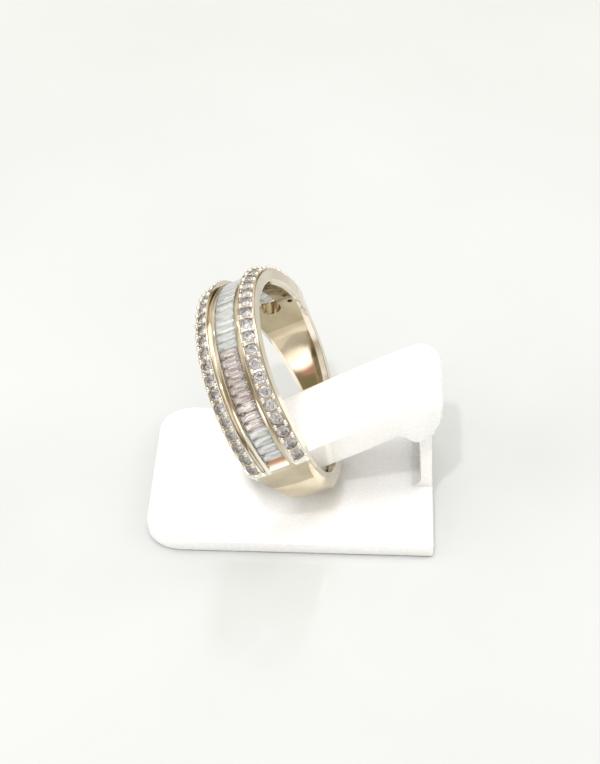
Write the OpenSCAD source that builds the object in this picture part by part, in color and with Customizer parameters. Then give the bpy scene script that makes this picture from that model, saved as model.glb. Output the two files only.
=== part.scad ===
// Half eternity band on a display stand.
// A tapered ring carries a channel of baguette stones over its upper half, with a raised strip
// of round stones along each side. It leans on a bent white stand whose tongue passes through it.
// Millimetres, +Z up. The origin is at the middle of the whole thing, on the floor.
// The ring is built about its own axis: X points to the middle of the head, Z runs along the bore.

/* [Ring] */
// Inner diameter of the ring
bore_d = 17.2; // [16.6:0.1:17.8]
// Flat of the bevel at each mouth of the bore, measured along the bore
mouth_bevel_w = 0.45; // [0.3:0.05:0.6]
// Height of the bevel at each mouth of the bore, measured outwards
mouth_bevel_h = 0.34; // [0.2:0.02:0.4]

/* [Baguette channel] */
// Number of baguettes
baguettes = 34; // [30:2:36]
// Angle of the ring that the baguettes fill
baguette_sweep = 164; // [150:1:168]
// Length of a baguette across the ring
baguette_l = 2.04; // [1.9:0.02:2.1]
// Gap between a stone and its neighbour or the metal
stone_gap = 0.05; // [0.03:0.01:0.08]
// Half of the channel's opening between its two rails
channel_half = 0.94; // [0.9:0.01:0.98]
// Radius of the two rails
rail_r = 10.15; // [10.1:0.01:10.2]
// Radius of the channel's floor
floor_r = 9.08; // [9:0.02:9.2]

/* [Strips of round stones] */
// Number of round stones in a strip
rounds = 24; // [22:1:24]
// Angle from one round stone to the next
round_pitch = 7.13; // [7:0.01:7.2]
// Diameter of a round stone
round_d = 1.1; // [1:0.01:1.12]
// Distance of the row from the middle of the ring
row_s = 2.2; // [2.15:0.01:2.25]
// Radius of the row at the stones' girdles
row_r = 10.22; // [10.15:0.01:10.3]
// Slope of the strip, down towards the ring's side
row_slope = 18.8; // [16:0.2:20]
// Half of the angle that a strip covers, with its bright cut end
strip_end = 90; // [88:0.5:92]

/* [How the ring stands] */
// Lean of the ring to the left, from upright
lean = 27.95; // [20:0.05:32]
// Turn of the ring on the stand, seen from above
ring_yaw = -1; // [-4:0.1:4]
// Turn of the ring in its own plane, which brings the head to the front
head_turn = 11; // [5:0.5:20]
// Gap between the ring and the stand's base
rest_gap = 0.03; // [0.02:0.01:0.05]

/* [Stand] */
// Width of the base, left to right
base_w = 25.7; // [25:0.1:27]
// Depth of the base, front to back
base_d = 18.9; // [18:0.1:20]
// Thickness of the base
base_t = 1.35; // [1.2:0.05:1.5]
// Radius of the base's two left corners
base_corner_r = 3.3; // [2:0.1:4]
// Front edge of the upright, from the base's front edge
upright_front = 8.1; // [7.5:0.1:8.5]
// Back edge of the upright, from the base's front edge
upright_back = 16; // [15.5:0.1:16.2]
// Front edge of the tongue, from the base's front edge
tongue_front = 6.65; // [6:0.05:7]
// Back edge of the tongue, from the base's front edge
tongue_back = 16.1; // [15.5:0.1:16.5]
// Radius of the rolled bend at the top of the upright
bend_r = 1.95; // [1.8:0.05:2]
// Radius of the fillet between the base and the upright
fillet_r = 0.8; // [0.4:0.1:1]

/* [Hidden] */
WHITE = [0.95, 0.95, 0.93];
METAL = [0.86, 0.84, 0.81];
STONE = [0.88, 0.92, 0.95, 0.6];
$fn = 48;
far = 30;
small = 0.01;

bore_r = bore_d / 2;

// The head keeps one section between its two ends. The shank's section changes with the angle
// from the middle of the head: half width, outer radius, and the bevel beside the outer face.
head_half_w = 2.92;
HALF_W = 1;
OUTER_R = 2;
BEVEL_IN = 3;
BEVEL_DROP = 4;
SHANK = [
    [82.3, 2.88, 10.12, 0.05, 0.05],
    [86, 2.75, 10.13, 0.1, 0.1],
    [92, 2.54, 10.16, 0.24, 0.26],
    [100, 2.32, 10.2, 0.4, 0.44],
    [114, 2.07, 10.26, 0.45, 0.5],
    [137, 1.63, 10.33, 0.44, 0.46],
    [160, 1.24, 10.35, 0.36, 0.34],
    [180, 1.08, 10.35, 0.32, 0.28]
];
shank_start = SHANK[0][0];
head_end = 84;
SHANK_STEPS = 34;
dome_drop = 0.05;

// The tongue's profile: distance from the left end of the base, top, and thickness
ACROSS = 0;
TOP_Z = 1;
THICK = 2;
TONGUE = [
    [8.4, 3.05, 1.2],
    [11.75, 4.75, 1.9],
    [16, 7.3, 2.6],
    [20, 9.6, 2.7],
    [23.4, 11.4, 2.3]
];
TONGUE_STEPS = 20;

// Column c of a table at x, on a smooth curve through the rows
function row_at(table, x, i = 0) =
    i + 2 >= len(table) || x < table[i + 1][0] ? i : row_at(table, x, i + 1);
function slope_at(table, c, i) =
    let (a = max(i - 1, 0), b = min(i + 1, len(table) - 1))
    (table[b][c] - table[a][c]) / (table[b][0] - table[a][0]);
function smooth_column(table, x, c, flat_ends) =
    let (i = row_at(table, x),
         width = table[i + 1][0] - table[i][0],
         u = (x - table[i][0]) / width,
         last = len(table) - 2,
         m0 = flat_ends && i == 0 ? 0 : slope_at(table, c, i) * width,
         m1 = flat_ends && i == last ? 0 : slope_at(table, c, i + 1) * width)
    (2 * pow(u, 3) - 3 * pow(u, 2) + 1) * table[i][c] + (pow(u, 3) - 2 * pow(u, 2) + u) * m0
    + (3 * pow(u, 2) - 2 * pow(u, 3)) * table[i + 1][c] + (pow(u, 3) - pow(u, 2)) * m1;

function shank_value(phi, c) = smooth_column(SHANK, phi > 180 ? 360 - phi : phi, c, true);

// One section of the shank as radius and distance along the bore, from the inside round
inside = 0.2;
function bevel_at(w) = w - mouth_bevel_w * (1 + inside / mouth_bevel_h);
function section(phi) =
    let (w = shank_value(phi, HALF_W),
         r = shank_value(phi, OUTER_R),
         edge = w - shank_value(phi, BEVEL_IN),
         half = [
             [bore_r - inside, bevel_at(w)],
             [bore_r + mouth_bevel_h, w],
             [r - dome_drop - shank_value(phi, BEVEL_DROP), w],
             [r - dome_drop, edge],
             [r - dome_drop / 4, edge / 2]
         ],
         last = len(half) - 1)
    concat(half, [[r, 0]], [for (k = [0:last]) [half[last - k][0], -half[last - k][1]]]);

shank_angles = [for (k = [0:SHANK_STEPS]) shank_start + (360 - 2 * shank_start) * k / SHANK_STEPS];

// Depth of the ring below its centre, once it stands
function standing_depth(phi, p) = -p[0] * cos(phi + head_turn) * cos(lean) - p[1] * sin(lean);
ring_drop = max([for (phi = shank_angles) for (p = section(phi)) standing_depth(phi, p)]);

// Places on the floor: the base's left and front edges, and the ring's centre
bend_x = base_w - 1.35;
bend_z = 9.65;
base_left = -(bend_x + bend_r) / 2;
ring_from_front = 10.5;
ring_far_reach = 10.25;
base_front = -(ring_from_front + ring_far_reach) / 2;
ring_from_left = 11.63;
ring_centre = [base_left + ring_from_left, base_front + ring_from_front, base_t + rest_gap + ring_drop];

module ring_pose() {
    translate(ring_centre) rotate([0, -lean, ring_yaw]) rotate([head_turn, 0, 0]) rotate(180, [1, 0, 1])
        children();
}

// A radial profile, turned about the bore from one angle to another
module arc(from, to) {
    rotate([0, 0, from]) rotate_extrude(angle = to - from) children();
}

module both_sides() {
    children();
    mirror([0, 0, 1]) children();
}

// A solid built up of rings of points, each a list of the same length
module stacked(rings) {
    n = len(rings[0]);
    top = len(rings) - 1;
    sides = [for (k = [0:top - 1])
        for (j = [0:n - 1])
            let (a = k * n + j,
                 b = k * n + (j + 1) % n)
            each [[a, b, b + n], [a, b + n, a + n]]];
    polyhedron([for (ring = rings) each ring],
               concat([[for (j = [n - 1:-1:0]) j]], sides, [[for (j = [0:n - 1]) top * n + j]]));
}

// The shank, lofted through its sections
module shank() {
    stacked([for (phi = shank_angles) [for (p = section(phi)) [p[0] * cos(phi), -p[0] * sin(phi), p[1]]]]);
}

// The rail beside the channel, and the groove between it and the strip
rail_outer = 1.38;
groove_outer = 1.52;
groove_r = 9.75;
above_r = 11;

// The lips over the baguettes, and the space below them
lip_r = 10.01;
notch_half = 1.08;
notch_r = [9.5, 9.93];
floor_half = 0.75;

// A strip's section from its inner rim down the sloping bed of the stones to its thin outer rim
surface_lift = 0.03;
function bed_r(s) = row_r + surface_lift - (s - row_s) * tan(row_slope);
bed = [1.72, 2.7];
outer_rim = 0.08;
inner_rim_r = 10.55;
strip_line = [[inner_rim_r, groove_outer], [inner_rim_r, groove_outer + outer_rim], [bed_r(bed[0]), bed[0]],
              [bed_r(bed[1]), bed[1]], [bed_r(bed[1]) + outer_rim, bed[1] + outer_rim],
              [bed_r(bed[1]) + outer_rim / 2, head_half_w]];

// The head: half of its section runs from the channel's floor out over the rail, groove and strip
module head() {
    half = concat([[floor_r, floor_half], [notch_r[0], notch_half],
                   [notch_r[1], notch_half], [lip_r, channel_half], [rail_r, channel_half],
                   [rail_r, rail_outer], [groove_r, rail_outer], [groove_r, groove_outer]],
                  strip_line,
                  [[bore_r + mouth_bevel_h, head_half_w], [bore_r - inside, bevel_at(head_half_w)]]);
    last = len(half) - 1;
    arc(-head_end, head_end)
        polygon(concat(half, [for (k = [0:last]) [half[last - k][0], -half[last - k][1]]]));
}

// The end of a strip, past the head: its outer side follows the shank and its top is cut away
module strip_tail() {
    from = head_end - 0.5;
    step = 3;
    side_inset = 0.07;
    root_r = 9.6;
    root_s = groove_outer + 0.04;
    sides = [for (phi = [from:step:from + 3 * step])
        [rail_r * cos(phi), shank_value(phi, HALF_W) - side_inset]];
    last = len(sides) - 1;
    intersection() {
        arc(from, strip_end) polygon(concat([[root_r, root_s], [inner_rim_r, root_s]],
                                            [for (k = [1:len(strip_line) - 1]) strip_line[k]],
                                            [[root_r, head_half_w]]));
        rotate([90, 0, 0]) translate([0, 0, -far]) linear_extrude(height = far)
            polygon(concat([[far, 0], [far, sides[0][1]]], sides, [[sides[last][0], 0]]));
    }
}

// The groove goes on past the head, a little shallower
module groove_tail() {
    run_out = 2;
    inset = 0.01;
    arc(shank_start - 0.4, strip_end - run_out)
        polygon([[groove_r + inset, rail_outer + inset], [above_r, rail_outer + inset],
                 [above_r, groove_outer - inset], [groove_r + inset, groove_outer - inset]]);
}

module both_ends() {
    children();
    mirror([0, 1, 0]) children();
}

// The slope that is cut on each end of the strips
module bright_cut() {
    slope = 25;
    end_r = 10.12;
    rotate([0, 0, strip_end]) translate([end_r, 0, 0]) rotate([0, 0, slope])
        translate([0, -2, -far / 2]) cube([2, 4, far]);
}

// A place on the strip: k counts stones from the back end
module on_row(k) {
    rotate([0, 0, (k - (rounds - 1) / 2) * round_pitch]) translate([row_r, 0, row_s])
        rotate([0, 90 - row_slope, 0]) children();
}

// The seat of a round stone, with the hole behind it
module seat() {
    seat_gap = 0.03;
    seat_depth = 0.25;
    hole_r = 0.3;
    hole_depth = 1.9;
    translate([0, 0, -seat_depth]) cylinder(r = round_d / 2 + seat_gap, h = 2 * seat_depth);
    translate([0, 0, -hole_depth]) cylinder(r = hole_r, h = hole_depth);
}

// The slope at each end of the channel
module channel_end() {
    from = shank_start - 0.4;
    to = 88;
    low_r = 9.6;
    high_r = 10.19;
    linear_extrude(height = 2 * channel_half - 0.02, center = true)
        polygon([low_r * [cos(from), sin(from)], high_r * [cos(to), sin(to)],
                 above_r * [cos(to), sin(to)], above_r * [cos(from), sin(from)]]);
}

// Long windows behind the baguettes
module windows() {
    half = 0.62;
    count = 5;
    sweep = 178;
    bar = 3;
    step = sweep / count;
    for (k = [0:count - 1])
        arc(-sweep / 2 + k * step + bar / 2, -sweep / 2 + (k + 1) * step - bar / 2)
            polygon([[8.3, -half], [floor_r + 0.2, -half], [floor_r + 0.2, half], [8.3, half]]);
}

module band() {
    color(METAL) ring_pose() difference() {
        union() {
            head();
            shank();
            both_ends() both_sides() difference() {
                strip_tail();
                bright_cut();
            }
        }
        cylinder(r = bore_r, h = far, center = true);
        both_ends() channel_end();
        windows();
        both_ends() both_sides() groove_tail();
        both_sides() for (k = [0:rounds - 1]) on_row(k) seat();
    }
}

// Step cut stone: table, crown, girdle, two pavilion steps and a keel
baguette_pitch = baguette_sweep / baguettes;
girdle_r = 9.84;
girdle_half = girdle_r * tan(baguette_pitch / 2) - stone_gap / 2;

module baguette(k) {
    end = baguette_l / 2;
    levels = [
        [10.08, 0.24, end - 0.2],
        [girdle_r + 0.05, girdle_half, end],
        [girdle_r, girdle_half, end],
        [9.46, 0.27, end - 0.17],
        [9.16, 0.05, end - 0.72]
    ];
    phi = (k - (baguettes - 1) / 2) * baguette_pitch;
    color(STONE) ring_pose() rotate([0, 0, phi])
        stacked([for (l = levels)
            [for (c = [[-1, -1], [1, -1], [1, 1], [-1, 1]]) [l[0], c[0] * l[1], c[1] * l[2]]]]);
}

// Brilliant cut stone: 8 sided table, 16 sided girdle and pointed pavilion
module round_stone() {
    r = round_d / 2;
    table = 0;
    middle = 8;
    upper = 16;
    lower = 32;
    pavilion = 48;
    culet = 56;
    points = concat(
        [for (j = [0:7]) [0.56 * r * cos(45 * j), 0.56 * r * sin(45 * j), 0.15]],
        [for (j = [0:7]) [0.8 * r * cos(45 * j + 22.5), 0.8 * r * sin(45 * j + 22.5), 0.085]],
        [for (j = [0:15]) [r * cos(22.5 * j), r * sin(22.5 * j), 0]],
        [for (j = [0:15]) [r * cos(22.5 * j), r * sin(22.5 * j), -0.03]],
        [for (j = [0:7]) [0.25 * r * cos(45 * j + 22.5), 0.25 * r * sin(45 * j + 22.5), -0.34]],
        [[0, 0, -0.42]]);
    facets = [for (j = [0:7])
        let (next = (j + 1) % 8,
             g = 2 * j,
             g1 = g + 1,
             g2 = (g + 2) % 16)
        each [
            [table + j, middle + j, table + next],
            [table + next, middle + j, upper + g2],
            [table + next, upper + g2, middle + next],
            [middle + j, upper + g, upper + g1],
            [middle + j, upper + g1, upper + g2],
            [upper + g, lower + g, lower + g1, upper + g1],
            [upper + g1, lower + g1, lower + g2, upper + g2],
            [lower + g, pavilion + j, lower + g1],
            [lower + g1, pavilion + j, lower + g2],
            [lower + g2, pavilion + j, culet],
            [lower + g2, culet, pavilion + next]
        ]];
    outwards = [for (facet = concat([[for (j = [0:7]) table + j]], facets))
        [for (j = [len(facet) - 1:-1:0]) facet[j]]];
    polyhedron(points, outwards);
}

module row_of_rounds() {
    color(STONE) for (k = [0:rounds - 1]) on_row(k) round_stone();
}

module pave_left() {
    ring_pose() mirror([0, 0, 1]) row_of_rounds();
}

module pave_right() {
    ring_pose() row_of_rounds();
}

// The stand's own corner: its left front corner on the floor
module on_stand() {
    translate([base_left, base_front, 0]) children();
}

function corner(centre, r, from, to, steps = 8) =
    [for (k = [0:steps]) let (a = from + (to - from) * k / steps) centre + r * [cos(a), sin(a)]];

module base() {
    r = base_corner_r;
    linear_extrude(height = base_t)
        polygon(concat(corner([r, r], r, 180, 270, 16), [[base_w, 0], [base_w, base_d]],
                       corner([r, base_d - r], r, 90, 180, 16)));
}

// An outline in X and Z, drawn out from the stand's front to its back
module drawn_back(from, to) {
    translate([0, to, 0]) rotate([90, 0, 0]) linear_extrude(height = to - from) children();
}

upright_foot = [24.6, base_w];
upright_head = [24.05, 25.4];

module upright() {
    drawn_back(upright_front, upright_back) {
        difference() {
            polygon([[upright_foot[0] - fillet_r, base_t - small], [upright_foot[0] - fillet_r, base_t],
                     [upright_foot[0], base_t + fillet_r], [upright_head[0], bend_z],
                     [upright_head[1], bend_z - 1.6], [upright_foot[1], base_t],
                     [upright_foot[1], base_t - small]]);
            translate([upright_foot[0] - fillet_r, base_t + fillet_r]) circle(r = fillet_r);
        }
    }
}

// The tongue's upper and lower lines, from the free end to the bend
module tongue_outline() {
    first = TONGUE[0][ACROSS];
    span = TONGUE[len(TONGUE) - 1][ACROSS] - first;
    xs = [for (k = [0:TONGUE_STEPS]) first + span * k / TONGUE_STEPS];
    upper = [for (x = xs) [x, smooth_column(TONGUE, x, TOP_Z, false)]];
    lower = [for (k = [0:TONGUE_STEPS])
        let (x = xs[TONGUE_STEPS - k])
        [x, smooth_column(TONGUE, x, TOP_Z, false) - smooth_column(TONGUE, x, THICK, false)]];
    polygon(concat(upper, lower));
}

// The tongue seen from above, with round corners
module tongue_plan() {
    right = bend_x + bend_r;
    bend_corner = 2.4;
    tip_corner = 3;
    back_corner = 1;
    tip = TONGUE[0][ACROSS];
    linear_extrude(height = far / 2)
        polygon(concat(corner([tip + tip_corner, tongue_front + tip_corner], tip_corner, 180, 270),
                       corner([right - bend_corner, tongue_front + bend_corner], bend_corner, -90, 0),
                       corner([right - back_corner, tongue_back - back_corner], back_corner, 0, 90),
                       corner([tip + tip_corner, tongue_back - tip_corner], tip_corner, 90, 180)));
}

// A bevel along the tongue's lower back edge keeps it clear of the ring's shank
module lower_bevel() {
    bevel_w = 3.4;
    bevel_h = 1.7;
    underside_angle = 26;
    low = TONGUE[1];
    translate([low[ACROSS], tongue_back, low[TOP_Z] - low[THICK]]) rotate([0, -underside_angle, 0])
        rotate([90, 0, 90]) translate([0, 0, -far / 2]) linear_extrude(height = far)
            polygon([[-bevel_w, 0], [-bevel_w, -bevel_h], [bevel_w, -bevel_h], [bevel_w, 2 * bevel_h],
                     [0, bevel_h]]);
}

module tongue() {
    difference() {
        intersection() {
            union() {
                drawn_back(0, base_d) tongue_outline();
                drawn_back(0, base_d) translate([bend_x, bend_z]) circle(r = bend_r);
            }
            tongue_plan();
        }
        intersection() {
            lower_bevel();
            cube([upright_head[0] - 1, far, far]);
        }
    }
}

module stand() {
    color(WHITE) on_stand() {
        base();
        upright();
        tongue();
    }
}

stand();
band();
pave_left();
pave_right();
for (k = [0:baguettes - 1])
    baguette(k);
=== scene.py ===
"""Looks of the half eternity band on its display stand.

Shapes are worked out in millimetres in the ring's own frame (X to the middle of the head, Z along the bore)
or in the stand's frame (X from its left end, Y from its front edge), then placed in the model's frame.
"""

import math

import bpy
import numpy as np
from mathutils import Matrix, Vector


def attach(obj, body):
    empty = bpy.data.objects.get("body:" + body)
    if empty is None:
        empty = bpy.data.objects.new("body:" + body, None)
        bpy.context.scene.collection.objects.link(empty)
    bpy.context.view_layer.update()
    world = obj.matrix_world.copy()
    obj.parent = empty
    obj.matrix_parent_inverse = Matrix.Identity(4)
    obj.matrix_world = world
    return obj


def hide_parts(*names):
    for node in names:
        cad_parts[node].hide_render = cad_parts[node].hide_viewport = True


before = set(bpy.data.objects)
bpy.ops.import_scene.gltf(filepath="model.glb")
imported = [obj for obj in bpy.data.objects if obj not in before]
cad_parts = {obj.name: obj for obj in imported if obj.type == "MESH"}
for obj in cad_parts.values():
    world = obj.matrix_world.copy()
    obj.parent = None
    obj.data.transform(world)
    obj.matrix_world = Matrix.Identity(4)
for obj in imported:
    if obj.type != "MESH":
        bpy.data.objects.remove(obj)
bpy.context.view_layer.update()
MM = 0.001

# How the ring stands
LEAN = 27.95
RING_YAW = -1.0
HEAD_TURN = 11.0
RING_CENTRE = Vector((-1.52, 0.125, 10.857))
STAND_CORNER = Vector((-13.15, -10.375, 0.0))


def turn(angle, axis):
    return Matrix.Rotation(math.radians(angle), 4, axis)


RING_POSE = (
    Matrix.Translation(RING_CENTRE)
    @ turn(RING_YAW, "Z")
    @ turn(-LEAN, "Y")
    @ turn(HEAD_TURN, "X")
    @ Matrix.Rotation(math.pi, 4, Vector((1, 0, 1)).normalized())
)
STAND_POSE = Matrix.Translation(STAND_CORNER)

# The ring's section
BORE_R = 8.6
HEAD_HALF_W = 2.92
SHANK_START = 82.3
CHANNEL_HALF = 0.94
RAIL_R = 10.15
RAIL_OUTER = 1.38
GROOVE_OUTER = 1.52
GROOVE_R = 9.93
ROW_R = 10.22
ROW_S = 2.2
ROW_SLOPE = math.radians(18.8)
ROUNDS = 24
ROUND_PITCH = 7.13
ROUND_R = 0.55
INNER_RIM_R = 10.55
BED = (1.63, 2.79)

# The rounded edge of the bore: height above the bore, distance in from the side
EDGE_FOOT = (0.0, 0.47)
EDGE_TOE = (0.02, 0.43)
EDGE_HEEL = (0.34, 0.03)
EDGE_TOP = (0.41, 0.0)

# The shank along its half circle: one row a place, one column a size
ANGLE, HALF_W, OUTER_R, BEVEL_IN, BEVEL_DROP = range(5)
SHANK = np.array([
    [82.3, 2.88, 10.12, 0.05, 0.05],
    [86.0, 2.75, 10.13, 0.1, 0.1],
    [92.0, 2.54, 10.16, 0.24, 0.26],
    [100.0, 2.32, 10.2, 0.4, 0.44],
    [114.0, 2.07, 10.26, 0.45, 0.5],
    [137.0, 1.63, 10.33, 0.44, 0.46],
    [160.0, 1.24, 10.35, 0.36, 0.34],
    [180.0, 1.08, 10.35, 0.32, 0.28],
])

# The back half of the shank tapers this many degrees later than the front half
BACK_DELAY = 4.0
DELAY_GROWS = 9.0
DELAY_FADES_AT = 105.0
DELAY_FADES = 60.0

# How much lower the shank's outer face is at its edges
CROWN_DROP = 0.045


def smooth(u):
    u = min(max(u, 0.0), 1.0)
    return u * u * (3 - 2 * u)


def shank_value(angle, column):
    """A column of the shank's table, on a smooth curve through its rows"""
    wrapped = (angle + 180.0) % 360.0 - 180.0
    start = SHANK[0, ANGLE]
    a = min(max(abs(wrapped), start), 180.0)
    if wrapped < 0:
        fading = 1.0 - smooth((a - DELAY_FADES_AT) / DELAY_FADES)
        a -= BACK_DELAY * smooth((a - start) / DELAY_GROWS) * fading
    xs = SHANK[:, ANGLE]
    ys = SHANK[:, column]
    i = min(int(np.searchsorted(xs, a, side="right")) - 1, len(xs) - 2)
    slopes = np.gradient(ys, xs)
    slopes[0] = slopes[-1] = 0.0
    w = xs[i + 1] - xs[i]
    u = (a - xs[i]) / w
    return ((2 * u**3 - 3 * u**2 + 1) * ys[i] + (u**3 - 2 * u**2 + u) * slopes[i] * w
            + (3 * u**2 - 2 * u**3) * ys[i + 1] + (u**3 - u**2) * slopes[i + 1] * w)


def polar(radius, angle, s):
    a = math.radians(angle)
    return (radius * math.cos(a), radius * math.sin(a), s)


def closed_mesh(name, shape, pose):
    """A mesh object from a shape in millimetres"""
    mesh = bpy.data.meshes.new(name)
    mesh.from_pydata([tuple((pose @ Vector(p)) * MM) for p in shape.points], [], shape.faces)
    mesh.validate()
    thing = bpy.data.objects.new(name, mesh)
    bpy.context.scene.collection.objects.link(thing)
    return thing


def cut_away(thing, cutter):
    """Cuts one object with another, which is then thrown away"""
    modifier = thing.modifiers.new("cut", "BOOLEAN")
    modifier.operation = "DIFFERENCE"
    modifier.solver = "EXACT"
    modifier.object = cutter
    graph = bpy.context.evaluated_depsgraph_get()
    cut = bpy.data.meshes.new_from_object(thing.evaluated_get(graph))
    thing.modifiers.clear()
    thing.data = cut
    bpy.data.objects.remove(cutter)


def piece(name, shape, pose, material, sharp, replaces, openings=None):
    """A mesh piece that rides on the root and stands for solids, with openings cut in it"""
    thing = closed_mesh(name, shape, pose)
    if openings:
        cut_away(thing, closed_mesh("openings", openings, pose))
    mesh = thing.data
    mesh.shade_smooth()
    mesh.set_sharp_from_angle(angle=math.radians(sharp))
    mesh.materials.clear()
    mesh.materials.append(material)
    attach(thing, "root")
    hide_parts(*replaces)
    return thing


def volume(points, faces):
    """Six times the volume inside the faces, above zero where they look outwards"""
    total = 0.0
    for face in faces:
        corners = [Vector(points[i]) for i in face]
        for k in range(1, len(corners) - 1):
            total += corners[0].dot(corners[k].cross(corners[k + 1]))
    return total


class Shape:
    """Gathers the points and faces of one piece"""

    def __init__(self):
        self.points = []
        self.faces = []

    def add(self, points, faces):
        first = len(self.points)
        self.points += points
        self.faces += [tuple(first + i for i in f) for f in faces]

    def loft(self, rings):
        """Joins rings of the same number of points, one after another, and closes both ends"""
        n = len(rings[0])
        last = (len(rings) - 1) * n
        faces = []
        for a in range(0, last, n):
            b = a + n
            faces += [(a + j, a + (j + 1) % n, b + (j + 1) % n, b + j) for j in range(n)]
        faces += [tuple(range(n - 1, -1, -1)), tuple(last + j for j in range(n))]
        points = [p for ring in rings for p in ring]
        if volume(points, faces) < 0:
            faces = [face[::-1] for face in faces]
        self.add(points, faces)


# Materials
def new_material(name):
    material = bpy.data.materials.new(name)
    material.use_nodes = True
    tree = material.node_tree
    shader = tree.nodes["Principled BSDF"]
    return material, tree, shader


def noise(tree, scale, detail, roughness=0.5, stretch=None):
    """Noise in the object's own coordinates, stretched along its axes if wanted"""
    place = tree.nodes.new("ShaderNodeTexCoord")
    texture = tree.nodes.new("ShaderNodeTexNoise")
    texture.inputs["Scale"].default_value = scale
    texture.inputs["Detail"].default_value = detail
    texture.inputs["Roughness"].default_value = roughness
    out = place.outputs["Object"]
    if stretch:
        mapping = tree.nodes.new("ShaderNodeMapping")
        mapping.inputs["Scale"].default_value = stretch
        tree.links.new(out, mapping.inputs["Vector"])
        out = mapping.outputs["Vector"]
    tree.links.new(out, texture.inputs["Vector"])
    return texture.outputs["Fac"]


def ramp(tree, value, stops):
    """Colours along a value: stops are (place, colour)"""
    node = tree.nodes.new("ShaderNodeValToRGB")
    node.color_ramp.elements[0].position = stops[0][0]
    node.color_ramp.elements[0].color = (*stops[0][1], 1)
    node.color_ramp.elements[1].position = stops[-1][0]
    node.color_ramp.elements[1].color = (*stops[-1][1], 1)
    for place, colour in stops[1:-1]:
        element = node.color_ramp.elements.new(place)
        element.color = (*colour, 1)
    tree.links.new(value, node.inputs["Fac"])
    return node.outputs["Color"]


def grade(tree, value, low, high):
    """A value from 0 to 1, spread from low to high"""
    node = tree.nodes.new("ShaderNodeMapRange")
    node.inputs["To Min"].default_value = low
    node.inputs["To Max"].default_value = high
    tree.links.new(value, node.inputs["Value"])
    return node.outputs["Result"]


def bump(tree, shader, value, strength, distance):
    node = tree.nodes.new("ShaderNodeBump")
    node.inputs["Strength"].default_value = strength
    node.inputs["Distance"].default_value = distance
    tree.links.new(value, node.inputs["Height"])
    tree.links.new(node.outputs["Normal"], shader.inputs["Normal"])


def polished_metal(name, light, dark, low, high):
    """Polished silver with faint tarnish and fine polishing marks"""
    material, tree, shader = new_material(name)
    shader.inputs["Metallic"].default_value = 1.0
    cloud = noise(tree, 420.0, 4.0)
    tree.links.new(ramp(tree, cloud, [(0.35, dark), (0.65, light)]), shader.inputs["Base Color"])
    marks = noise(tree, 2600.0, 5.0, 0.6, (1.0, 1.0, 0.25))
    tree.links.new(grade(tree, marks, low, high), shader.inputs["Roughness"])
    bump(tree, shader, marks, 0.12, 0.00002)
    return material


def clear_stone(name, tint, shade, ior, clear, ripple):
    """Cut stone: clear, with a faint cloud inside"""
    material, tree, shader = new_material(name)
    shader.inputs["Transmission Weight"].default_value = clear
    shader.inputs["IOR"].default_value = ior
    cloud = noise(tree, 900.0, 2.0)
    tree.links.new(ramp(tree, cloud, [(0.3, shade), (0.7, tint)]), shader.inputs["Base Color"])
    tree.links.new(grade(tree, noise(tree, 5000.0, 2.0), 0.0, 0.03), shader.inputs["Roughness"])
    bump(tree, shader, noise(tree, 2400.0, 1.0), ripple, 0.0001)
    return material


def moulded_plastic(name):
    """Glossy white plastic with a faint swirl and fine grain"""
    material, tree, shader = new_material(name)
    swirl = noise(tree, 160.0, 3.0)
    tree.links.new(ramp(tree, swirl, [(0.3, (0.92, 0.925, 0.91)), (0.7, (0.96, 0.965, 0.955))]),
                   shader.inputs["Base Color"])
    grain = noise(tree, 3800.0, 4.0)
    tree.links.new(grade(tree, grain, 0.2, 0.34), shader.inputs["Roughness"])
    shader.inputs["Coat Weight"].default_value = 0.9
    shader.inputs["Coat Roughness"].default_value = 0.04
    shader.inputs["Coat IOR"].default_value = 1.65
    bump(tree, shader, grain, 0.015, 0.00002)
    shader.inputs["Subsurface Weight"].default_value = 0.5
    shader.inputs["Subsurface Scale"].default_value = 0.003
    shader.inputs["Subsurface Radius"].default_value = (0.6, 0.6, 0.55)
    return material


def pale_table(name):
    """Smooth pale table top with a faint cloud"""
    material, tree, shader = new_material(name)
    cloud = noise(tree, 26.0, 4.0)
    tree.links.new(ramp(tree, cloud, [(0.3, (0.545, 0.558, 0.556)), (0.7, (0.576, 0.59, 0.588))]),
                   shader.inputs["Base Color"])
    tree.links.new(grade(tree, noise(tree, 900.0, 4.0), 0.12, 0.22), shader.inputs["Roughness"])
    shader.inputs["Coat Weight"].default_value = 0.5
    shader.inputs["Coat Roughness"].default_value = 0.08
    return material


METAL = polished_metal("polished_silver", (0.73, 0.65, 0.505), (0.61, 0.53, 0.39), 0.05, 0.13)
# The shank and the bore get darker copies of the same silver: painted shade
SHANK_METAL_PAINTED_SHADE = polished_metal("shank_silver_painted_shade", (0.65, 0.57, 0.43), (0.54, 0.465, 0.33), 0.05, 0.13)
INNER_METAL_PAINTED_SHADE = polished_metal("inner_silver_painted_shade", (0.5, 0.44, 0.31), (0.41, 0.35, 0.23), 0.07, 0.16)
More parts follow.
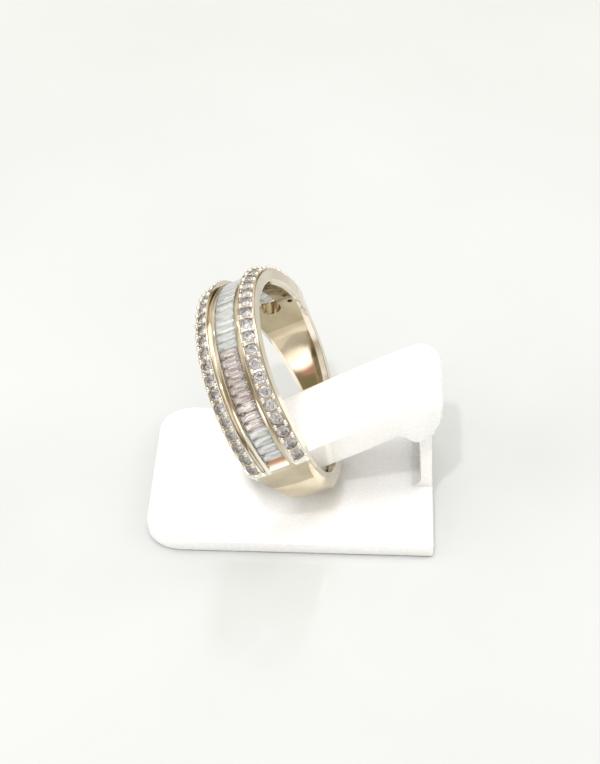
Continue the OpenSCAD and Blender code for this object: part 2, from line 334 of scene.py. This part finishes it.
# The sides, the cut borders and the beads get lighter copies of the same silver: painted highlight
SIDE_METAL_PAINTED_HIGHLIGHT = polished_metal("side_silver_painted_highlight", (0.84, 0.785, 0.68), (0.74, 0.675, 0.56), 0.06, 0.14)
CUT_METAL_PAINTED_HIGHLIGHT = polished_metal("bright_cut_silver_painted_highlight", (0.98, 0.96, 0.9), (0.92, 0.88, 0.8), 0.03, 0.08)
BEAD_METAL_PAINTED_HIGHLIGHT = polished_metal("bead_silver_painted_highlight", (1.0, 0.97, 0.9), (0.93, 0.88, 0.79), 0.12, 0.22)
BRILLIANT = clear_stone("brilliant_clear", (0.84, 0.82, 0.84), (0.56, 0.54, 0.56), 2.1, 0.93, 0.6)
BAGUETTE = clear_stone("baguette_clear", (0.97, 0.99, 0.99), (0.9, 0.935, 0.94), 1.9, 0.7, 0.1)
# The rosy baguettes are the clear stone with a painted reflection of warm colour in its tint
ROSY_PAINTED_REFLECTION = clear_stone("baguette_rosy_painted_reflection", (0.92, 0.85, 0.83), (0.79, 0.71, 0.68), 1.92, 0.82, 0.1)
PLASTIC = moulded_plastic("white_plastic")
TABLE = pale_table("pale_table")


# The head: one loft from end to end, whose strips are cut down to the shank at both ends
CHANNEL_FLOOR = 9.08
CHANNEL_FLOOR_TOP = 10.3
CHANNEL_END = 87.2
WALL_FOOT_R = 9.5
GROOVE_END = 87.6
GROOVE_END_R = 10.2
TROUGH = 0.45
TROUGH_END = 85.3
UNDERCUT_END = 86
SIDE_R = 9.4
CUT_R = 10.12
CUT_SLOPE = math.tan(math.radians(25.0))
HEAD_END = 90.0
NARROW_START = 70.0
HEAD_PROUD = 0.04
BED_LIFT = 0.03
RIM = 0.13

# Angles over which the rails sink into the shank, the borders turn bright cut, and the strips come down
RAILS_MERGE = (85.5, 4.0)
BRIGHT_GROWS = (66.0, 5.0)
STRIP_FALLS = 80.0
STRIP_LIFT = 0.7

# Past its end the head draws in all round, so that its last face lies inside the shank
DIP = 0.6
DIP_THINS = 0.1
DIP_NARROWS = 0.05
DIP_MIDDLE_R = (BORE_R + 10.1) / 2


def bed_r(s):
    return ROW_R + BED_LIFT - (s - ROW_S) * math.tan(ROW_SLOPE)


def crown(angle, s):
    """The shank's domed outer face, with its bevelled edge"""
    edge = shank_value(angle, HALF_W) - shank_value(angle, BEVEL_IN)
    r = shank_value(angle, OUTER_R) - CROWN_DROP * min(abs(s) / edge, 1.0) ** 2
    past = max(0.0, abs(s) - edge)
    return r - shank_value(angle, BEVEL_DROP) * min(1.0, past / shank_value(angle, BEVEL_IN))


def head_width(angle):
    part = smooth((abs(angle) - NARROW_START) / (SHANK_START - NARROW_START))
    narrowing = (HEAD_HALF_W - SHANK[0, HALF_W]) * part
    return min(HEAD_HALF_W - narrowing, shank_value(angle, HALF_W) + HEAD_PROUD - narrowing)


def head_section(angle):
    """The head's outline at one angle, from points of radius and distance from the middle"""
    a = abs(angle)
    past = max(0.0, a - SHANK_START)
    width = head_width(angle)
    merge = smooth((a - RAILS_MERGE[0]) / RAILS_MERGE[1])
    bright = smooth((a - BRIGHT_GROWS[0]) / BRIGHT_GROWS[1])
    slope = WALL_FOOT_R + past * (RAIL_R - WALL_FOOT_R) / (CHANNEL_END - SHANK_START)
    floor = CHANNEL_FLOOR if past == 0 else min(slope, CHANNEL_FLOOR_TOP)
    outer = min(BED[1], width - RIM - 0.05 * bright)
    inner = BED[0] + 0.1 * bright
    trough = TROUGH if a < TROUGH_END else 0.0
    groove = GROOVE_R if a < GROOVE_END else GROOVE_END_R
    undercut = (1.04, 1.06) if a < UNDERCUT_END else (CHANNEL_HALF - 0.02, CHANNEL_HALF - 0.01)
    rim = INNER_RIM_R
    cut = CUT_R + max(0.0, HEAD_END - a) * math.radians(1.0) * CUT_R * CUT_SLOPE

    def rail(r, s):
        """A radius of the channel's rails, which sink into the shank at the head's ends"""
        return r + (crown(angle, s) - r) * merge

    def strip(r, s):
        """A radius of the strips, which are cut down to the shank at the head's ends"""
        lift = STRIP_LIFT * (1.0 - smooth((a - STRIP_FALLS) / (HEAD_END - STRIP_FALLS)))
        return min(r, max(cut, crown(angle, s)), crown(angle, s) + lift) if past else r

    half = [
        # Channel: floor, undercut wall and lip
        (min(floor, rail(RAIL_R, 0.0)), 0.0),
        (min(floor, rail(RAIL_R, 0.75)), 0.75),
        (min(max(WALL_FOOT_R, floor), rail(RAIL_R, 1.0)), undercut[0]),
        (min(max(GROOVE_R, floor), rail(RAIL_R, 1.0)), undercut[1]),
        (min(max(10.0, floor), rail(RAIL_R, 1.0)), CHANNEL_HALF),
        # Rail, rounded on both edges
        (rail(RAIL_R - 0.05, 0.95), CHANNEL_HALF + 0.005),
        (rail(RAIL_R - 0.012, 0.97), CHANNEL_HALF + 0.03),
        (rail(RAIL_R, 1.02), CHANNEL_HALF + 0.08),
        (rail(RAIL_R + 0.015, 1.16), (CHANNEL_HALF + RAIL_OUTER) / 2),
        (rail(RAIL_R, 1.31), RAIL_OUTER - 0.07),
        (rail(RAIL_R - 0.015, 1.35), RAIL_OUTER - 0.025),
        (rail(RAIL_R - 0.06, 1.38), RAIL_OUTER),
        # Groove between rail and strip
        (min(groove, rail(RAIL_R, 1.39)), RAIL_OUTER + 0.01),
        (min(groove, rail(RAIL_R, 1.5)), GROOVE_OUTER - 0.01),
        # Inner border of the strip
        (strip(rim - 0.06, 1.52), GROOVE_OUTER - 0.1 * bright),
        (strip(rim - 0.012 + 0.03 * bright, 1.54), GROOVE_OUTER + 0.02 - 0.1 * bright),
        (strip(rim + 0.05 * bright, 1.57), GROOVE_OUTER + 0.05 - 0.1 * bright),
        (strip(rim - 0.03 + 0.07 * bright, 1.61), GROOVE_OUTER + 0.09 - 0.12 * bright),
        # Trough that holds the bed of the round stones
        (strip(bed_r(inner) + 0.002, inner), inner),
        (strip(bed_r(inner) - trough, inner), inner + 0.03),
        (strip(bed_r(outer) - trough, outer), outer - 0.03),
        (strip(bed_r(outer) + 0.002, outer), outer),
        # Outer border of the strip
        (strip(bed_r(outer) + 0.07 * bright, outer), outer + 0.025),
        (strip(bed_r(outer) - 0.02 + 0.09 * bright, outer + 0.04), outer + 0.05),
        (strip(bed_r(outer) - 0.07 + 0.1 * bright, outer + 0.1), outer + 0.1),
        (strip(bed_r(outer) - 0.14 + 0.1 * bright, width), width),
        # Side, rounded edge and bore
        (SIDE_R, width),
        *[(BORE_R + up, width - aside) for up, aside in (EDGE_TOP, EDGE_HEEL, EDGE_TOE, EDGE_FOOT)],
        (BORE_R, 1.5),
        (BORE_R, 0.0),
    ]
    dip = DIP * max(0.0, a - HEAD_END)
    slim = 1.0 - DIP_NARROWS * dip
    sunk = [(r + (dip if r < DIP_MIDDLE_R else -dip) * DIP_THINS, s * slim) for r, s in half]
    other = [(r, -s) for r, s in reversed(sunk[1:-1])]
    return [polar(r, angle, s) for r, s in sunk + other]


def head_angles():
    """The angles of the head's sections, closer together at its shaped ends"""
    ends = [82.5, 83.2, 84.0, 84.6, 85.2, 85.4, 86.0, 86.6, 87.2, 87.5, 87.7, 88.4, 89.2, 90.0, 90.8]
    middle = list(np.linspace(-82.2, 82.2, 140))
    return [-a for a in reversed(ends)] + [-82.35] + middle + [82.35] + ends


head = Shape()
head.loft([head_section(a) for a in head_angles()])


# The bed of the round stones: one tile a stone, with a round seat in it
def circle(radius, count, offset=0.0):
    """Points evenly round a circle"""
    turns = [2 * math.pi * (j + offset) / count for j in range(count)]
    return [(radius * math.cos(t), radius * math.sin(t)) for t in turns]


def on_row(angle, along, across, height, side):
    """A point of the sloping bed: along the row, across it, and above it, in millimetres"""
    r = ROW_R + height * math.cos(ROW_SLOPE) - across * math.sin(ROW_SLOPE)
    s = ROW_S + height * math.sin(ROW_SLOPE) + across * math.cos(ROW_SLOPE)
    a = math.radians(angle)
    return (r * math.cos(a) - along * math.sin(a), r * math.sin(a) + along * math.cos(a), side * s)


def row_angle(k):
    return (k - (ROUNDS - 1) / 2) * ROUND_PITCH


SEAT_STEPS = 32
SEAT_FOOT_R = 0.16
SEAT_DEPTH = 0.42
TILE_OVERLAP = 0.012
TILE_MARGIN = 0.12
HALF_PITCH = math.radians(ROUND_PITCH / 2) * ROW_R
HALF_BED = (BED[1] - BED[0]) / 2 / math.cos(ROW_SLOPE)
BED_MIDDLE = ((BED[1] + BED[0]) / 2 - ROW_S) / math.cos(ROW_SLOPE)


def seat_tile(shape, angle, side):
    """A rectangle of bed round one stone, drawn in to the seat's rim and down to its foot"""
    outer = []
    for x, y in circle(1.0, SEAT_STEPS, 0.5):
        grow = 1.0 / max(abs(x) / (HALF_PITCH + TILE_OVERLAP), abs(y) / HALF_BED)
        place = math.degrees(x * grow / ROW_R) * (1 if angle > 0 else -1) * (abs(angle) > STRIP_FALLS)
        reach = head_width(angle + place) - TILE_MARGIN - ROW_S
        across = min(BED_MIDDLE + y * grow, reach / math.cos(ROW_SLOPE))
        outer.append(on_row(angle, x * grow, across, BED_LIFT, side))
    rings = [outer]
    for radius, height in ((ROUND_R + 0.04, 0.035), (ROUND_R + 0.015, 0.0), (ROUND_R - 0.03, -0.06),
                           (SEAT_FOOT_R, -SEAT_DEPTH)):
        rings.append([on_row(angle, x, y, height, side) for x, y in circle(radius, SEAT_STEPS, 0.5)])
    faces = []
    for k in range(len(rings) - 1):
        for j in range(SEAT_STEPS):
            a = k * SEAT_STEPS + j
            b = k * SEAT_STEPS + (j + 1) % SEAT_STEPS
            face = (a, b, b + SEAT_STEPS, a + SEAT_STEPS)
            faces.append(face if side > 0 else face[::-1])
    last = (len(rings) - 1) * SEAT_STEPS
    bottom = tuple(last + j for j in range(SEAT_STEPS))
    faces.append(bottom if side > 0 else bottom[::-1])
    shape.add([p for ring in rings for p in ring], faces)


bed = Shape()
for side in (-1, 1):
    for k in range(ROUNDS):
        seat_tile(bed, row_angle(k), side)


# Beads: four at each meeting of two stones
BEAD_R = 0.18
BEAD_ALONG = 0.115
BEAD_ACROSS = 0.48
BEAD_HEIGHT = 0.12


def bead(shape, centre, up, radius, rings=6, around=12):
    """A small ball, with one pole up"""
    up = Vector(up).normalized()
    right = up.orthogonal().normalized()
    ahead = up.cross(right)
    c = Vector(centre)
    points = [tuple(c + up * radius)]
    for k in range(1, rings):
        t = math.pi * k / rings
        for j in range(around):
            a = 2 * math.pi * j / around
            points.append(tuple(c + up * radius * math.cos(t)
                                + (right * math.cos(a) + ahead * math.sin(a)) * radius * math.sin(t)))
    points.append(tuple(c - up * radius))
    faces = [(0, 1 + j, 1 + (j + 1) % around) for j in range(around)]
    for k in range(rings - 2):
        for j in range(around):
            a = 1 + k * around + j
            b = 1 + k * around + (j + 1) % around
            faces.append((a, a + around, b + around, b))
    last = len(points) - 1
    base = 1 + (rings - 2) * around
    faces += [(base + (j + 1) % around, base + j, last) for j in range(around)]
    shape.add(points, faces)


beads = Shape()
for side in (-1, 1):
    for k in range(ROUNDS + 1):
        angle = row_angle(k - 0.5)
        top = Vector(on_row(angle, 0, 0, 1, side)) - Vector(on_row(angle, 0, 0, 0, side))
        for across in (-1, 1):
            for along in (-1, 1):
                if (k == 0 and along < 0) or (k == ROUNDS and along > 0):
                    continue
                centre = on_row(angle, BEAD_ALONG * along, BEAD_ACROSS * across, BEAD_HEIGHT, side)
                bead(beads, centre, top, BEAD_R)


# The openings inside the head: long windows behind the baguettes and a hole behind each round stone
WINDOWS = 5
WINDOW_SWEEP = 178.0
WINDOW_BAR = 3.0
WINDOW_HALF = 0.8
WINDOW_R = 8.8
WINDOW_TIP = 0.04
FLARE = 0.26
FLARE_R = 8.74
CUT_FROM_R = 8.4
CUT_TO_R = 9.3
END_STEPS = 6
MIDDLE_STEPS = 12

# A hole's rings: distance from the bore's axis, distance from the ring's middle, radius
HOLE = ((CUT_FROM_R, 1.97, 0.3), (8.72, 1.98, 0.19), (CUT_TO_R, 2.05, 0.17), (9.4, 2.06, 0.05))


def window(shape, start, end):
    """A long window with round ends, flared towards the finger"""
    turned = math.degrees(WINDOW_HALF / WINDOW_R)
    quarter = [math.radians(90 * j / END_STEPS) for j in range(END_STEPS + 1)]
    first = [(start + turned * (1 - math.cos(t)), math.sin(t)) for t in quarter]
    straight = end - start - 2 * turned
    stops = first + [(start + turned + straight * j / MIDDLE_STEPS, 1.0) for j in range(1, MIDDLE_STEPS)]
    stops += [(start + end - place, part) for place, part in reversed(first)]
    rings = []
    for place, part in stops:
        h = max(WINDOW_HALF * part, WINDOW_TIP)
        upper = [(CUT_FROM_R, h + FLARE), (FLARE_R, h), (CUT_TO_R, h)]
        outline = [(CUT_FROM_R, -h - FLARE)] + upper + [(CUT_TO_R, -h), (FLARE_R, -h)]
        rings.append([polar(r, place, s) for r, s in outline])
    shape.loft(rings)


def stone_hole(shape, angle, side, around=14):
    """A small round hole behind a round stone"""
    turned = math.radians(angle)
    rings = []
    for r, s, radius in HOLE:
        rings.append([(r * math.cos(turned) - along * math.sin(turned),
                       r * math.sin(turned) + along * math.cos(turned), side * (s + across))
                      for along, across in circle(radius, around)])
    shape.loft(rings)


openings = Shape()
for k in range(WINDOWS):
    first = -WINDOW_SWEEP / 2 + k * WINDOW_SWEEP / WINDOWS
    window(openings, first + WINDOW_BAR / 2, first + WINDOW_SWEEP / WINDOWS - WINDOW_BAR / 2)
for side in (-1, 1):
    for k in range(ROUNDS):
        stone_hole(openings, row_angle(k), side)


# The shank, whose two ends start inside the head and whose inner face is slightly domed
DOME = 0.07
DOME_GROWS = 25
DOME_CURVE = ((0.09, 0.3), (0.36, 0.6), (0.72, 0.85), (1.0, 1.0))
TUCK_ANGLE = 1.6
TUCK_IN = 0.12


def shank_section(angle, inset=0.0):
    """The shank's outline at one angle, drawn in by an inset where it ends inside the head"""
    w = shank_value(angle, HALF_W) - 3 * inset
    edge = w - shank_value(angle, BEVEL_IN)
    drop = shank_value(angle, BEVEL_DROP)
    top = crown(angle, edge) - inset
    dome = DOME * smooth((90 - abs(angle - 180)) / DOME_GROWS)
    half = [(BORE_R + inset + part * dome, out * (w - EDGE_FOOT[1])) for part, out in DOME_CURVE]
    half += [
        (BORE_R + EDGE_TOE[0] + inset + dome, w - EDGE_TOE[1]),
        (BORE_R + EDGE_HEEL[0], w - EDGE_HEEL[1]),
        (BORE_R + EDGE_TOP[0], w - EDGE_TOP[1]),
        (top - drop - 0.04, w),
        (top - drop + 0.02, w - 0.02),
        (top - 0.005, edge + 0.04),
        (top, edge - 0.02),
        (crown(angle, edge * 0.75) - inset, edge * 0.75),
        (crown(angle, edge * 0.4) - inset, edge * 0.4),
    ]
    crest = (shank_value(angle, OUTER_R) - inset, 0.0)
    points = half + [crest] + [(x, -s) for x, s in reversed(half)] + [(BORE_R + inset, 0.0)]
    return [polar(x, angle, s) for x, s in points]


shank = Shape()
shank.loft([shank_section(90 - TUCK_ANGLE, TUCK_IN)]
           + [shank_section(a) for a in np.linspace(90, 270, 140)]
           + [shank_section(270 + TUCK_ANGLE, TUCK_IN)])

# Where the painted shade and painted highlight copies of the metal meet: radii, angles and distances from
# the ring's middle
BORE_FACE_R = 8.72
BORE_FACE_END = 101
SIDE_TURN = 0.93
EDGE_TURN = 0.5
EDGE_END_R = 9.1
BRIGHT_R = 9.9
BRIGHT_END = 89
BORDER_START = 69
BORDER = (1.4, 1.76)
OUTER_BORDER = 2.68
CUT_END_START = 85.6
RAIL_TOP_START = 60
RAIL_TOP = (0.95, 1.36)
GROOVE_WALL = (1.38, 1.6)


def is_painted_highlight(angle, s):
    """Whether a face of the head's outside lies on the cut borders that get the painted highlight"""
    inner_border = BORDER[0] < abs(s) < BORDER[1]
    cut_end = angle > CUT_END_START and abs(s) > BORDER[0]
    border = angle > BORDER_START and (inner_border or abs(s) > OUTER_BORDER or cut_end)
    rail_top = angle > RAIL_TOP_START and RAIL_TOP[0] < -s < RAIL_TOP[1]
    return border or rail_top or GROOVE_WALL[0] < -s < GROOVE_WALL[1]


def paint_shade_and_highlight(thing, bright=False):
    """The bore's face gets a duller copy of the metal as painted shade, the sides a paler one and the cut
    borders a bright one as painted highlight
    """
    mesh = thing.data
    usual = 0
    # Material slots: painted shade on the bore, painted highlight on the cut borders and on the sides
    inner, cut, side = 1, 2, 3
    mesh.materials.append(INNER_METAL_PAINTED_SHADE)
    mesh.materials.append(CUT_METAL_PAINTED_HIGHLIGHT)
    mesh.materials.append(SIDE_METAL_PAINTED_HIGHLIGHT)
    back = RING_POSE.inverted()
    for face in mesh.polygons:
        x, y, s = back @ (face.center / MM)
        radius = math.hypot(x, y)
        angle = abs(math.degrees(math.atan2(y, x)))
        sideways = abs((back.to_3x3() @ face.normal).z)
        if radius < BORE_FACE_R:
            face.material_index = inner if angle < BORE_FACE_END else usual
        elif sideways > (SIDE_TURN if radius > EDGE_END_R else EDGE_TURN):
            face.material_index = side
        elif bright and angle < BRIGHT_END and radius > BRIGHT_R and is_painted_highlight(angle, s):
            face.material_index = cut


def ring_piece(name, shape, material, sharp, openings=None):
    return piece(name, shape, RING_POSE, material, sharp, ["band"], openings)


# The bore gets painted shade, the sides painted highlight, and on the head the cut borders too; the beads
# carry a painted highlight
paint_shade_and_highlight(ring_piece("ring_head", head, METAL, 16.0, openings), True)
paint_shade_and_highlight(ring_piece("ring_shank", shank, SHANK_METAL_PAINTED_SHADE, 16.0))
ring_piece("stone_beds", bed, METAL, 30.0)
ring_piece("beads", beads, BEAD_METAL_PAINTED_HIGHLIGHT, 80.0)

# The stones are the model's own solids; those of one stretch of the channel get a rosy painted reflection
BAGUETTE_PITCH = 4.87
BAGUETTE_MIDDLE = 17.5
ROSY_REFLECTION_FROM = 21
ROSY_REFLECTION_TO = 63
for name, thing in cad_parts.items():
    if name.startswith("baguette_"):
        place = (int(name.split("_")[1]) - BAGUETTE_MIDDLE) * BAGUETTE_PITCH
        thing.data.materials.clear()
        thing.data.materials.append(ROSY_PAINTED_REFLECTION if ROSY_REFLECTION_FROM < place < ROSY_REFLECTION_TO else BAGUETTE)
    elif name.startswith("pave_"):
        thing.data.materials.clear()
        thing.data.materials.append(BRILLIANT)

# The stand
BASE_W = 25.7
BASE_D = 18.9
BASE_T = 1.35
FREE_CORNER = 3.3
UPRIGHT_CORNER = 0.25

# The tongue from its free end to the bend: distance from the base's left end, top, thickness
TONGUE = np.array([
    [8.4, 3.05, 1.2],
    [11.75, 4.75, 1.9],
    [16.0, 7.3, 2.6],
    [20.0, 9.6, 2.7],
    [23.4, 11.4, 2.3],
])
TONGUE_TOP = 1
TONGUE_T = 2
TONGUE_Y = (6.65, 16.1)
TIP_CORNER = 3.0
NEAR_CORNER = 2.4
FAR_CORNER = 1.0
TIP_PLACES = 5
BEND = (24.35, 9.65)
BEND_R = 1.95
BEND_TURN = (112, -135)

# The upright: inner and outer face at its foot and under the bend
UPRIGHT_Y = (8.1, 16.0)
UPRIGHT_FOOT = (23.8, 25.65)
UPRIGHT_TOP = (24.05, 25.4)
UPRIGHT_TOP_Z = 8.05
FOOT_FILLET = 0.8
FOOT_SUNK = 0.2


def arc_points(cx, cy, r, start, end, steps):
    return [(cx + r * math.cos(math.radians(start + (end - start) * k / steps)),
             cy + r * math.sin(math.radians(start + (end - start) * k / steps))) for k in range(steps + 1)]


def soften(thing, width, segments=3, angle=35.0):
    """Rounds the edges that are sharper than an angle, by a width in millimetres"""
    modifier = thing.modifiers.new("edges", "BEVEL")
    modifier.width = width * MM
    modifier.segments = segments
    modifier.limit_method = "ANGLE"
    modifier.angle_limit = math.radians(angle)
    modifier.harden_normals = True


def stand_piece(name, shape):
    return piece(name, shape, STAND_POSE, PLASTIC, 40.0, ["stand"])


def base_corner(left, front, radius, start, steps):
    """A quarter circle at one corner of the base"""
    x = radius if left else BASE_W - radius
    y = radius if front else BASE_D - radius
    return arc_points(x, y, radius, start, start + 90, steps)


outline = base_corner(True, True, FREE_CORNER, 180, 16)
outline += base_corner(False, True, UPRIGHT_CORNER, -90, 4)
outline += base_corner(False, False, UPRIGHT_CORNER, 0, 4)
outline += base_corner(True, False, FREE_CORNER, 90, 16)
base = Shape()
base.loft([[(x, y, z) for x, y in outline] for z in (0.0, BASE_T)])
soften(stand_piece("stand_base", base), 0.28)


def tongue_value(x, column):
    return float(np.interp(x, TONGUE[:, 0], TONGUE[:, column]))


xs = list(np.linspace(TONGUE[0, 0], TONGUE[-1, 0], 15))[:-1]
roll = arc_points(BEND[0], BEND[1], BEND_R, BEND_TURN[0], BEND_TURN[1], 26)


def pulled_in(radius, distance):
    """How far a round corner lies inside the straight end, at a distance from the side"""
    if distance >= radius:
        return 0.0
    return radius - math.sqrt(max(0.0, radius**2 - (radius - distance) ** 2))


def plan_limits(y):
    """How far the tongue reaches left and right at a distance from the front edge"""
    near = y - TONGUE_Y[0]
    far = TONGUE_Y[1] - y
    left = TONGUE[0, 0] + pulled_in(TIP_CORNER, near) + pulled_in(TIP_CORNER, far)
    right = BEND[0] + BEND_R - pulled_in(NEAR_CORNER, near) - pulled_in(FAR_CORNER, far)
    return left, right


def tongue_ring(y):
    """The tongue's outline at one distance from the front edge, with its tip drawn in to the plan"""
    left, right = plan_limits(y)
    fixed = xs[TIP_PLACES]
    pull = (fixed - left) / (fixed - xs[0])
    places = [fixed - (fixed - x) * pull for x in xs[:TIP_PLACES]] + xs[TIP_PLACES:]
    upper = [(x, tongue_value(x, TONGUE_TOP)) for x in places]
    lower = [(x, z - tongue_value(x, TONGUE_T)) for x, z in reversed(upper)]
    return [(min(x, right), y, z) for x, z in lower + upper + roll]


steps = [0.0, 0.08, 0.3, 0.7, 1.2, 1.8, NEAR_CORNER, TIP_CORNER]
TONGUE_MIDDLE_Y = 11.4
ys = [TONGUE_Y[0] + d for d in steps] + [TONGUE_MIDDLE_Y] + [TONGUE_Y[1] - d for d in reversed(steps)]
tongue = Shape()
tongue.loft([tongue_ring(y) for y in ys])
soften(stand_piece("stand_tongue", tongue), 0.35, 3, 40.0)

foot_z = BASE_T - FOOT_SUNK
upright_outline = [(UPRIGHT_FOOT[0], foot_z)]
upright_outline += arc_points(UPRIGHT_FOOT[0], BASE_T + FOOT_FILLET, FOOT_FILLET, -90, 0, 8)
upright_outline += [(UPRIGHT_TOP[0], BEND[1]), (UPRIGHT_TOP[1], UPRIGHT_TOP_Z), (UPRIGHT_FOOT[1], foot_z)]
upright = Shape()
upright.loft([[(x, y, z) for x, z in upright_outline] for y in UPRIGHT_Y])
soften(stand_piece("stand_upright", upright), 0.15, 2, 50.0)

# Table
TABLE_HALF = 0.6
corners = [(-1, -1), (1, -1), (1, 1), (-1, 1)]
table_mesh = bpy.data.meshes.new("table")
table_mesh.from_pydata([(TABLE_HALF * x, TABLE_HALF * y, 0) for x, y in corners], [], [(0, 1, 2, 3)])
table_mesh.materials.append(TABLE)
table = bpy.data.objects.new("table", table_mesh)
bpy.context.scene.collection.objects.link(table)

# Camera, fitted to the photo: place in millimetres, direction, and sizes in millimetres
CAMERA_PLACE = Vector((6.246, -148.25, 126.97))
CAMERA_AIM = Vector((-0.0315, 0.7880, -0.6149))
SENSOR_HEIGHT = 36.0
FOCAL_LENGTH = 99.06
camera_data = bpy.data.cameras.new("camera")
camera_data.sensor_fit = "VERTICAL"
camera_data.sensor_height = SENSOR_HEIGHT
camera_data.lens = FOCAL_LENGTH
camera_data.clip_start = 0.01
camera_data.clip_end = 10.0
camera = bpy.data.objects.new("camera", camera_data)
camera.location = CAMERA_PLACE * MM
camera.rotation_euler = CAMERA_AIM.to_track_quat("-Z", "Y").to_euler()
bpy.context.scene.collection.objects.link(camera)
bpy.context.scene.camera = camera


# Light: large soft sources in metres and watts; the fills don't show in polished metal
WHITE = (1.0, 1.0, 1.0)
PART = (0, 0, 0.01)


def area_light(name, place, target, size, power, colour=WHITE, in_gloss=True):
    data = bpy.data.lights.new(name, "AREA")
    data.shape = "RECTANGLE"
    data.size = size[0]
    data.size_y = size[1]
    data.energy = power
    data.color = colour
    light = bpy.data.objects.new(name, data)
    light.location = Vector(place)
    light.rotation_euler = (Vector(target) - Vector(place)).to_track_quat("-Z", "Y").to_euler()
    light.visible_glossy = in_gloss
    bpy.context.scene.collection.objects.link(light)


area_light("overhead", (0.05, 0.1, 0.5), (0, 0, 0), (0.4, 0.3), 0.85)
area_light("right_window", (0.4, 0.15, 0.3), PART, (0.22, 0.2), 0.5, (1.0, 0.99, 0.96))
area_light("key", (-0.1, -0.255, 0.5), (0.005, 0, 0.005), (0.03, 0.03), 0.8, in_gloss=False)
area_light("front_fill", (-0.05, -0.55, 0.32), PART, (0.6, 0.4), 0.5, in_gloss=False)
area_light("left_fill", (-0.5, -0.1, 0.25), PART, (0.4, 0.4), 1.05, in_gloss=False)
area_light("right_fill", (0.5, -0.1, 0.3), PART, (0.4, 0.4), 0.35, in_gloss=False)

# Three small lights round the part, for glints on the stones
SPOT_RADIUS = 0.3
SPOT_HEIGHT = 0.42
SPOT_START = 40
SPOT_STEP = 110
for k in range(3):
    turned = math.radians(SPOT_START + SPOT_STEP * k)
    place = (SPOT_RADIUS * math.cos(turned), SPOT_RADIUS * math.sin(turned), SPOT_HEIGHT)
    area_light("spot_%d" % (k + 1), place, PART, (0.035, 0.035), 0.03)

# The room: bright above, warm and darker towards the horizon, with soft clouds
ROOM = [(0.0, (0.34, 0.29, 0.22)), (0.18, (0.45, 0.4, 0.32)), (0.42, (0.75, 0.72, 0.66)),
        (0.7, (1.0, 1.0, 0.98)), (1.0, WHITE)]
CLOUDS = [(0.36, (0.55, 0.5, 0.46)), (0.5, (0.95, 0.93, 0.9)), (0.6, (1.25, 1.25, 1.25))]

# Patches of the room that the polished metal mirrors: direction, radius in degrees, colour
PATCHES = (
    ((-0.62, -0.65, 0.44), 15, (0.36, 0.32, 0.2)),
    ((-0.5, -0.83, 0.24), 7, (0.76, 0.42, 0.36)),
    ((-0.42, -0.9, 0.03), 11, (2.6, 2.6, 2.6)),
)
world = bpy.data.worlds.new("studio")
world.use_nodes = True
sky = world.node_tree
direction = sky.nodes.new("ShaderNodeTexCoord")
height = sky.nodes.new("ShaderNodeSeparateXYZ")
sky.links.new(direction.outputs["Generated"], height.inputs["Vector"])
room = ramp(sky, height.outputs["Z"], ROOM)
clouds = sky.nodes.new("ShaderNodeTexNoise")
clouds.inputs["Scale"].default_value = 1.9
clouds.inputs["Detail"].default_value = 2.0
sky.links.new(direction.outputs["Generated"], clouds.inputs["Vector"])
shade = ramp(sky, clouds.outputs["Fac"], CLOUDS)
mix = sky.nodes.new("ShaderNodeMix")
mix.data_type = "RGBA"
mix.blend_type = "MULTIPLY"
mix.inputs["Factor"].default_value = 1.0
sky.links.new(room, mix.inputs["A"])
sky.links.new(shade, mix.inputs["B"])


def room_patch(colour_in, aim, radius, colour):
    """A soft round patch of colour in one direction of the room"""
    dot = sky.nodes.new("ShaderNodeVectorMath")
    dot.operation = "DOT_PRODUCT"
    dot.inputs[1].default_value = Vector(aim).normalized()
    sky.links.new(direction.outputs["Generated"], dot.inputs[0])
    near = sky.nodes.new("ShaderNodeMapRange")
    near.interpolation_type = "SMOOTHSTEP"
    near.inputs["From Min"].default_value = math.cos(math.radians(radius * 1.4))
    near.inputs["From Max"].default_value = math.cos(math.radians(radius * 0.6))
    sky.links.new(dot.outputs["Value"], near.inputs["Value"])
    blend = sky.nodes.new("ShaderNodeMix")
    blend.data_type = "RGBA"
    sky.links.new(near.outputs["Result"], blend.inputs["Factor"])
    sky.links.new(colour_in, blend.inputs["A"])
    blend.inputs["B"].default_value = (*colour, 1)
    return blend.outputs["Result"]


colours = mix.outputs["Result"]
for aim, radius, colour in PATCHES:
    colours = room_patch(colours, aim, radius, colour)
background = sky.nodes["Background"]
sky.links.new(colours, background.inputs["Color"])
background.inputs["Strength"].default_value = 1.02
bpy.context.scene.world = world
bpy.context.scene.view_settings.view_transform = "Standard"
